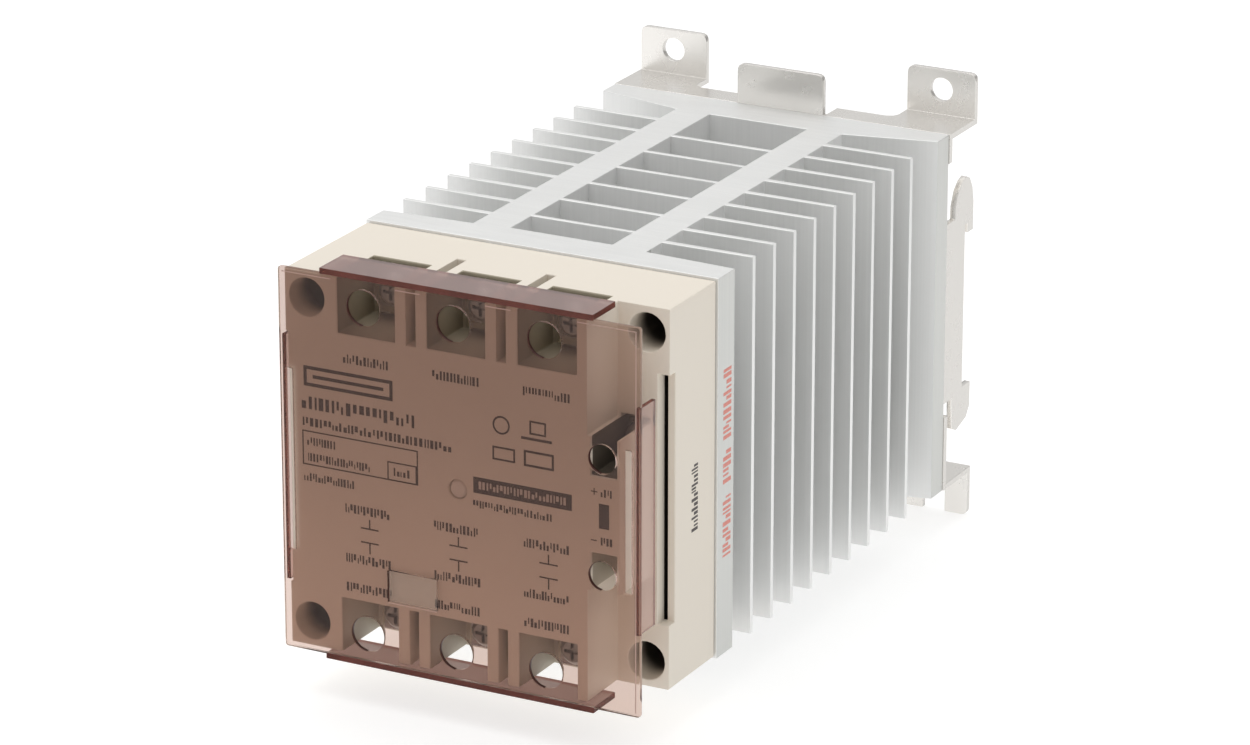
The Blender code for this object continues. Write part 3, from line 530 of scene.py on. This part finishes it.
def housing_finish():
    """Beige moulding with a fine grain and a little dust.

    Painted shade: the recesses, dividers and control block are darker and a little olive, the upper ones more
    so, and the corner wells, the flange slot and the upper control block are nearly black. Depth runs forward
    from the heat sink.
    """
    material, shader, place = start_finish("beige_housing", IOR=1.5, Specular_IOR_Level=0.45)
    flow = place.stretched((1.0, 0.6, 1.4)).noise(18.0, 4.0)
    fine = place.noise(2600.0, 2.0)
    dust = place.noise(140.0, 5.0, 0.65).eased(0.56, 0.75)
    axes = place.add("SeparateXYZ", {0: place})
    x = axes / MM
    depth = SINK_FRONT - axes.other("Y") / MM
    z = axes.other("Z") / MM
    beside = x.absolute() - CORNER_X
    above = z.absolute() - CORNER_Z
    in_well = (beside * beside + above * above) < WELL_R * WELL_R
    right = x > 0.0
    well_top = FACE_DEPTH - WING_DROP * right
    well_shade = in_well * (well_top - depth).eased(2.5, 10.0)
    recess = sum(between(x, pole - RECESS_HALF, pole + RECESS_HALF) for pole in POLE_X)
    recess = (recess * (z.absolute() > 34.6) * (depth < 40.0) * (depth > 22.0)).clipped()
    upper = z > 0.0
    control = between(x, 35.8, 43.2) * between(z.absolute(), 9.8, 19.9) * between(depth, 19.5, 39.5)
    divider = sum(between(x, mid - 1.35, mid + 1.35) for mid in DIVIDER_X)
    divider = divider * (z.absolute() > 33.0)
    divider = divider * (48.5 - z.absolute()).eased(0.0, 6.0) * (40.0 - depth).eased(0.5, 7.0)
    slot = between(x, 45.7, 47.2) * (z.absolute() < 32.6) * (depth < 21.0)
    tone = (flow * 0.6 + fine * 0.25 + 0.15 * dust).blend((0.800, 0.732, 0.635), (0.850, 0.792, 0.700))
    # Painted shade: olive dark in the recesses, on the dividers and in the control block, deeper in the upper
    # half, and near black in the wells and the slot.
    shaded = (recess * (0.35 + 0.40 * upper) + 0.55 * control + 0.7 * divider).clipped()
    tone = shaded.blend(tone, (0.22, 0.19, 0.11))
    tone = (control * upper * 0.85).blend(tone, (0.055, 0.045, 0.035))
    tone = (well_shade * 0.97 + slot).clipped().blend(tone, (0.016, 0.012, 0.009))
    feed(shader, Base_Color=tone, Roughness=0.46 + 0.10 * fine + 0.08 * dust, Normal=fine.bump(0.000014))
    return material


beige = housing_finish()
softened("housing", [beige], 0.32 * MM, 3)
for k in range(1, 5):
    softened(f"corner_screw_{k}", [zinc], 0.08 * MM)

SINK_IN = 0.005
black_ink = ink("black_ink", (0.07, 0.06, 0.062), (0.12, 0.105, 0.10))
marks = []


def mark(x0, x1, z0, z1):
    """A printed bar on the raised face."""
    marks.append((x0, x1, FACE_Y - FILM, FACE_Y + SINK_IN, z0, z1))


def mark_row(x0, x1, low, high, seed, stroke=0.42):
    """A row of plain strokes on the raised face, from x0 to x1."""
    for a, b, bottom, top in ticks(x0, x1, high - low, seed, stroke):
        mark(a, b, low + bottom, low + top)


def mark_frame(x0, x1, z0, z1, line=0.36):
    """A ruled rectangle."""
    mark(x0, x1, z1 - line, z1)
    mark(x0, x1, z0, z0 + line)
    mark(x0, x0 + line, z0 + line, z1 - line)
    mark(x1 - line, x1, z0 + line, z1 - line)


CAPTION_H = 2.3
CAPTION_LEFT = -6.6
CAPTION_RIGHT = 6.3
# Each pole: four rows of strokes and, between the lower two, an open contact.
for k, x in enumerate(POLE_X):
    for j, z in enumerate((27.4, -11.8, -24.9, -32.6)):
        mark_row(x + CAPTION_LEFT, x + CAPTION_RIGHT, z, z + CAPTION_H, 10 + 4 * k + j, 0.38)
    mark(x + 0.05, x + 0.45, -15.0, -12.7)
    mark(x - 2.3, x + 2.8, -15.4, -15.0)
    mark(x - 2.3, x + 2.8, -19.1, -18.7)
    mark(x + 0.05, x + 0.45, -21.8, -19.1)
# Left of the middle: a double frame, then rows of strokes, some of them in a ruled plate.
mark_frame(-44.2, -18.9, 19.6, 24.9, 0.9)
mark(-41.6, -21.5, 21.8, 22.7)
mark_row(-44.9, -12.6, 13.6, 16.9, 31, 0.7)
mark_row(-44.7, -1.8, 9.1, 11.3, 32, 0.5)
mark_frame(-44.9, -12.0, -1.2, 7.9)
mark_frame(-20.7, -12.36, -1.2, 3.8)
mark_row(-43.5, -35.4, 4.1, 6.2, 33, 0.38)
mark_row(-43.3, -25.6, -0.1, 2.0, 34, 0.34)
mark_row(-18.9, -13.6, 0.2, 2.3, 35, 0.38)
mark_row(-44.6, -30.2, -5.4, -3.3, 36, 0.36)
# Right of the middle: three small blank frames, a bar under one of them, and a broad dark bar.
mark_frame(8.9, 15.2, 9.4, 13.0, 0.5)
mark_frame(17.6, 25.9, 9.2, 13.4, 0.6)
mark_frame(19.2, 23.8, 17.6, 21.2, 0.5)
mark(16.9, 25.4, 16.1, 16.8)
mark(3.5, 30.8, -0.2, 4.0)
mark_row(3.4, 25.2, -4.0, -2.1, 37, 0.38)
# Beside the control clamps: a block between them, a plus above it and a minus below.
mark(38.2, 41.0, -3.3, 3.1)
mark(36.0, 37.8, 5.85, 6.15)
mark(36.75, 37.05, 5.1, 6.9)
mark(36.0, 37.6, -6.75, -6.45)
mark_row(38.7, 42.0, 4.9, 6.9, 38, 0.36)
mark_row(38.7, 42.2, -7.6, -5.6, 39, 0.36)
slabs("face_print", marks, black_ink, "relay")

BAR_INSET_Z = 0.95
reversed_out = [(a, b, FACE_Y - 2 * FILM, FACE_Y - FILM * 0.5, BAR_INSET_Z + bottom, BAR_INSET_Z + top)
                for a, b, bottom, top in ticks(5.0, 29.6, 2.0, 41, 0.4)]
pale_ink = ink("pale_ink", (0.62, 0.56, 0.50), (0.72, 0.66, 0.60))
slabs("face_print_pale", reversed_out, pale_ink, "relay")


def turned_ring(name, centre, profile, rows, finish, arc=(0.0, math.tau)):
    """A closed profile of (radius, y) turned about an axis along Y through centre, over an arc.

    u is the turn and runs down the rows; v, the profile, runs along them.
    """
    u = np.linspace(*arc, rows + 1)[:, None]
    shape = np.array(profile, float) * MM
    x = centre[0] * MM + shape[None, :, 0] * np.cos(u)
    y = shape[None, :, 1] + 0 * u
    z = centre[1] * MM + shape[None, :, 0] * np.sin(u)
    part_way = not math.isclose(arc[1] - arc[0], math.tau)
    return grid_mesh(name, np.stack([x, y, z], axis=-1), finish, caps=part_way)


RING_IN, RING_OUT = 1.9, 2.4
ring_section = [(RING_IN, FACE_Y), (RING_OUT, FACE_Y), (RING_OUT, FACE_Y - FILM), (RING_IN, FACE_Y - FILM)]
ring = turned_ring("approval_ring", (11.4, 18.6), ring_section, 40, black_ink)
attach(ring, "relay")

HOUSING_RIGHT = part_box("housing")[1].x / MM
LOT_BASE = SINK_FRONT - 9.6
lot_marks = [(HOUSING_RIGHT - SINK_IN, HOUSING_RIGHT + FILM, LOT_BASE - high, LOT_BASE - low, a, b)
             for a, b, low, high in ticks(-12.0, 5.6, 3.3, 51, 0.45)]
slabs("lot_print", lot_marks, black_ink, "relay")


# ---------------------------------------------------------------- terminals
# Tinned brass bars, square clamping washers and pan-head screws with a cross recess; each washer and
# screw rides on its own body, because the screw lifts as it turns.
screw_zinc = plated_finish("screw_zinc", (0.36, 0.35, 0.33), (0.50, 0.49, 0.46), 0.42, 0.8)
tin = plated_finish("tinned_brass_bar", (0.66, 0.62, 0.52), (0.80, 0.77, 0.68), 0.22)
TAGS = [f"{side}_{k}" for side in ("line", "load") for k in (1, 2, 3)] + ["control_plus", "control_minus"]
for tag in TAGS:
    softened(f"{tag}_terminal", [tin], 0.14 * MM)
    softened(f"{tag}_washer", [zinc], 0.12 * MM)
    softened(f"{tag}_screw", [screw_zinc], 0.08 * MM)


# ---------------------------------------------------------------- indicator
# A clear light pipe ends flush in the face, over a small lens on the board. Both are one clear
# plastic with a faint milky core, so the pipe shows as a pale disc.
def lens_finish():
    """Clear moulding with a faint milky core."""
    material, shader, place = start_finish("clear_pipe", IOR=1.49, Transmission_Weight=0.12)
    cloud = place.noise(700.0, 3.0)
    feed(shader, Base_Color=cloud.blend((0.86, 0.80, 0.72), (0.95, 0.91, 0.86)), Roughness=0.16 + 0.1 * cloud)
    return material


clear_pipe = lens_finish()
softened("light_pipe", [clear_pipe], 0.1 * MM)
softened("led_emitter", [clear_pipe], 0.08 * MM)


# ---------------------------------------------------------------- smoked cover
# One clear moulding in smoked polycarbonate: polished outside, finely frosted inside. It snaps on
# by its side flanges; eight holes let a screwdriver through to the clamps.
THROUGH = (0.70, 0.565, 0.51)
EDGE_TINT = (0.17, 0.045, 0.035)
HAZE_TINT = (0.42, 0.28, 0.24)
LAMP_SHARE = (0.45, 0.39, 0.37)


def smoked_finish(name, tint, rough, haze, haze_colour, lamp_share=1.0):
    """Tinted clear plastic over a little milky haze; lamps reach through it by its own tint."""
    material, shader, place = start_finish(name, IOR=1.22, Transmission_Weight=1.0)
    tree = material.node_tree
    streak = place.stretched((1.0, 1.0, 0.4)).noise(26.0, 3.0)
    low = (place.add("SeparateXYZ", {0: place}, out="Z") / MM).eased(35.0, -50.0)
    scuff = place.noise(900.0, 4.0, 0.7).eased(0.6, 0.8)
    paler = 0.15 * streak + 0.85 * low
    feed(shader, Base_Color=paler.blend([0.90 * c for c in tint], [1.12 * c for c in tint]),
         Roughness=rough + 0.03 * scuff)
    milk = place.add("BsdfDiffuse", {"Color": (*haze_colour, 1.0)}, out="BSDF")
    lamp_tint = [math.sqrt(c) * lamp_share * share for c, share in zip(tint, LAMP_SHARE)]
    open_way = place.add("BsdfTransparent", {"Color": (*lamp_tint, 1.0)}, out="BSDF")
    hazy = place.add("MixShader", {0: haze + 0.03 * scuff, 1: Wire(tree, shader.outputs[0]), 2: milk})
    for_lamps = place.add("LightPath", out="Is Shadow Ray")
    whole = place.add("MixShader", {0: for_lamps, 1: hazy, 2: open_way})
    tree.links.new(whole.socket, tree.nodes["Material Output"].inputs["Surface"])
    return material


polished = smoked_finish("smoked_outside", THROUGH, 0.05, 0.04, HAZE_TINT)
frosted = smoked_finish("smoked_inside", THROUGH, 0.58, 0.05, HAZE_TINT)
edge_red = smoked_finish("smoked_edge", EDGE_TINT, 0.2, 0.10, (0.35, 0.14, 0.11), 1.5)
lip_skin = smoked_finish("smoked_lip", (0.52, 0.40, 0.37), 0.15, 0.32, (0.60, 0.49, 0.475), 1.4)
flange_skin = smoked_finish("smoked_flange", (0.80, 0.66, 0.61), 0.2, 0.22, (0.78, 0.62, 0.57), 1.4)
seat_frost = smoked_finish("smoked_seat", (0.72, 0.60, 0.54), 0.2, 0.16, (0.60, 0.50, 0.44))

PLATE_T = 1.2
COVER_GAP = 0.55
PLATE_FRONT_Y = FACE_Y - COVER_GAP - PLATE_T
EDGE_R = 0.22
COVER_HALF = 50.2
LIP_LEFT, LIP_RIGHT = -38.4, 37.4
LIP_NEAR, LIP_FAR = 49.9, 51.5
AIR = 0.02
POLE_Z, POLE_HOLE = 42.8, 4.7
CONTROL_X, CONTROL_Z, CONTROL_HOLE = 39.7, 15.1, 3.8
SEAT = (-20.1, -6.4, -32.9, -24.6)


def box_loop(x0, x1, z0, z1):
    return np.array([(x0, z0), (x1, z0), (x1, z1), (x0, z1)])


def circle_loop(x, z, radius, steps=48):
    turn = np.linspace(0.0, math.tau, steps, endpoint=False)
    return np.stack([x + radius * np.cos(turn), z + radius * np.sin(turn)], axis=1)


def rounded_loop(loop, radius, steps=5):
    """A loop whose corners b become quadratic arcs from a to c: (1-t)^2 a + 2t(1-t) b + t^2 c."""
    t = np.linspace(0.0, 1.0, steps)[:, None]
    radius = np.broadcast_to(radius, len(loop))[:, None]
    before = np.roll(loop, 1, axis=0) - loop
    after = np.roll(loop, -1, axis=0) - loop
    a = loop + radius * before / np.linalg.norm(before, axis=1, keepdims=True)
    c = loop + radius * after / np.linalg.norm(after, axis=1, keepdims=True)
    a, b, c = a[:, None], loop[:, None], c[:, None]
    return ((1 - t) ** 2 * a + 2 * t * (1 - t) * b + t ** 2 * c).reshape(-1, 2)


def plate_piece(name, loops, front, thickness, finishes):
    """A flat plate cut to these loops, with rims rounded by EDGE_R.

    The finishes are those of its front, its back and its rims.
    """
    curve = bpy.data.curves.new(name, "CURVE")
    curve.dimensions = "2D"
    curve.fill_mode = "BOTH"
    curve.extrude = (thickness / 2 - EDGE_R) * MM
    curve.bevel_depth = EDGE_R * MM
    curve.bevel_resolution = 2
    curve.offset = -EDGE_R * MM
    for loop in loops:
        spline = curve.splines.new("POLY")
        spline.points.add(len(loop) - 1)
        spline.use_cyclic_u = True
        flat = np.concatenate([loop * MM, np.zeros((len(loop), 1)), np.ones((len(loop), 1))], axis=1)
        spline.points.foreach_set("co", flat.ravel())
    drawn = bpy.data.objects.new(name + "_outline", curve)
    bpy.context.scene.collection.objects.link(drawn)
    bpy.context.view_layer.update()
    mesh = bpy.data.meshes.new_from_object(drawn.evaluated_get(bpy.context.evaluated_depsgraph_get()))
    bpy.data.objects.remove(drawn)
    bm = bmesh.new()
    bm.from_mesh(mesh)
    bmesh.ops.remove_doubles(bm, verts=bm.verts, dist=1e-6)
    for vert in bm.verts:
        vert.co = (vert.co.x, (front + thickness / 2) * MM + vert.co.z, vert.co.y)
    bmesh.ops.recalc_face_normals(bm, faces=bm.faces)
    for face in bm.faces:
        face.material_index = 0 if face.normal.y < -0.99 else 1 if face.normal.y > 0.99 else 2
        face.smooth = face.material_index == 2
    bm.to_mesh(mesh)
    bm.free()
    mesh.materials.clear()
    for finish in finishes:
        mesh.materials.append(finish)
    piece = bpy.data.objects.new(name, mesh)
    bpy.context.scene.collection.objects.link(piece)
    return piece


edge_z = LIP_NEAR - AIR
outer = np.array([(-COVER_HALF, -COVER_HALF), (LIP_LEFT, -COVER_HALF), (LIP_LEFT, -edge_z),
                  (LIP_RIGHT, -edge_z), (LIP_RIGHT, -COVER_HALF), (COVER_HALF, -COVER_HALF),
                  (COVER_HALF, COVER_HALF), (LIP_RIGHT, COVER_HALF), (LIP_RIGHT, edge_z),
                  (LIP_LEFT, edge_z), (LIP_LEFT, COVER_HALF), (-COVER_HALF, COVER_HALF)])
CORNER_R, NOTCH_R = 0.9, 0.05
outer_radii = [CORNER_R] + [NOTCH_R] * 4 + [CORNER_R] * 2 + [NOTCH_R] * 4 + [CORNER_R]
loops = [rounded_loop(outer, outer_radii)]
loops += [circle_loop(x, sign * POLE_Z, POLE_HOLE) for x in POLE_X for sign in (-1, 1)]
loops += [circle_loop(CONTROL_X, sign * CONTROL_Z, CONTROL_HOLE) for sign in (-1, 1)]
SLOT_R = 0.4
loops += [rounded_loop(box_loop(*slot), SLOT_R)
          for slot in ((-48.6, -46.7, -24.0, 24.0), (45.7, 47.8, -18.5, 18.5))]
loops += [box_loop(*SEAT)]
cover_plate = plate_piece("cover_plate", loops, PLATE_FRONT_Y, PLATE_T, [polished, frosted, edge_red])
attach(cover_plate, "cover")
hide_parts("terminal_cover")

PLATE_BACK_Y = PLATE_FRONT_Y + PLATE_T
LIP_BACK_Y = SINK_FRONT - 30.4
FLANGE_BACK_Y = SINK_FRONT - 32.5
LIP_SETBACK = 0.05
lips = [(LIP_LEFT, LIP_RIGHT, PLATE_FRONT_Y + LIP_SETBACK, LIP_BACK_Y,
         *sorted((sign * LIP_NEAR, sign * LIP_FAR))) for sign in (-1, 1)]
flanges = [(-49.9, -48.7, PLATE_BACK_Y + AIR, FLANGE_BACK_Y, -32.4, 32.4),
           (48.2, 49.4, PLATE_BACK_Y + AIR, FLANGE_BACK_Y, -29.2, 29.2)]
RIM_BREADTH = 1.7 * MM
for name, rows, skin in (("cover_lips", lips, lip_skin), ("cover_flanges", flanges, flange_skin)):
    walls = slabs(name, rows, skin, "cover")
    walls.data.materials.append(edge_red)
    for face in walls.data.polygons:
        sides = sorted(np.ptp([walls.data.vertices[v].co for v in face.vertices], axis=0))
        face.material_index = int(sides[1] < RIM_BREADTH)
    soft_rim = walls.modifiers.new("rounded_edges", "BEVEL")
    soft_rim.width = 0.2 * MM
    soft_rim.segments = 2
    soft_rim.harden_normals = True
    walls.data.shade_smooth()

rim_shade_ink = ink("smoked_rim_shade", (0.055, 0.018, 0.014), (0.10, 0.035, 0.028), 0.25)
highlight_pink_ink = ink("smoked_highlight", (0.74, 0.60, 0.56), (0.88, 0.76, 0.72), 0.3)
# Inside each hole a dark sleeve on the left of its rim, from the top round to the bottom, is painted shade
# where the wall lies in shadow.
DARK_ARC = (math.radians(75), math.radians(265))
holes = [(x, sign * POLE_Z, POLE_HOLE) for x in POLE_X for sign in (1, -1)]
holes += [(CONTROL_X, sign * CONTROL_Z, CONTROL_HOLE) for sign in (1, -1)]
for k, (x, z, radius) in enumerate(holes):
    sleeve = turned_ring(f"cover_hole_shade_{k + 1}", (x, z),
                         [(radius - 0.02, PLATE_FRONT_Y + 0.25), (radius - 0.02, PLATE_BACK_Y - 0.05),
                          (radius - 0.14, PLATE_BACK_Y - 0.05), (radius - 0.08, PLATE_FRONT_Y + 0.25)],
                         32, rim_shade_ink, DARK_ARC)
    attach(sleeve, "cover")
# Pale pink lines just inside the front, along its right and top edges and under the marking seat, are painted
# highlights.
HIGHLIGHT_IN = COVER_HALF - 1.1
HIGHLIGHT_Y = (PLATE_FRONT_Y + 0.04, PLATE_FRONT_Y + 0.2)
highlight_lines = [(HIGHLIGHT_IN - 0.25, HIGHLIGHT_IN, *HIGHLIGHT_Y, -HIGHLIGHT_IN, HIGHLIGHT_IN)]
highlight_lines += [(a, b, *HIGHLIGHT_Y, HIGHLIGHT_IN - 0.2, HIGHLIGHT_IN)
          for a, b in ((-HIGHLIGHT_IN, -35.4), (-17.1, -10.2), (8.0, 14.9), (33.2, HIGHLIGHT_IN - 0.2))]
highlight_lines += [(SEAT[0], SEAT[1], *HIGHLIGHT_Y, SEAT[2] - 0.3, SEAT[2] - 0.1)]
slabs("cover_highlight_lines", highlight_lines, highlight_pink_ink, "cover")
# A dark strip along the left edge of the marking seat is painted shade.
slabs("cover_seat_shade",
      [(SEAT[0] - 0.28, SEAT[0] - 0.06, PLATE_FRONT_Y + 0.1, PLATE_BACK_Y - 0.1, SEAT[2], SEAT[3])],
      rim_shade_ink, "cover")
SEAT_DEPTH = 0.4
slabs("cover_marking_seat",
      [(SEAT[0] + AIR, SEAT[1] - AIR, PLATE_FRONT_Y + SEAT_DEPTH, PLATE_BACK_Y,
        SEAT[2] + AIR, SEAT[3] - AIR)], seat_frost, "cover")
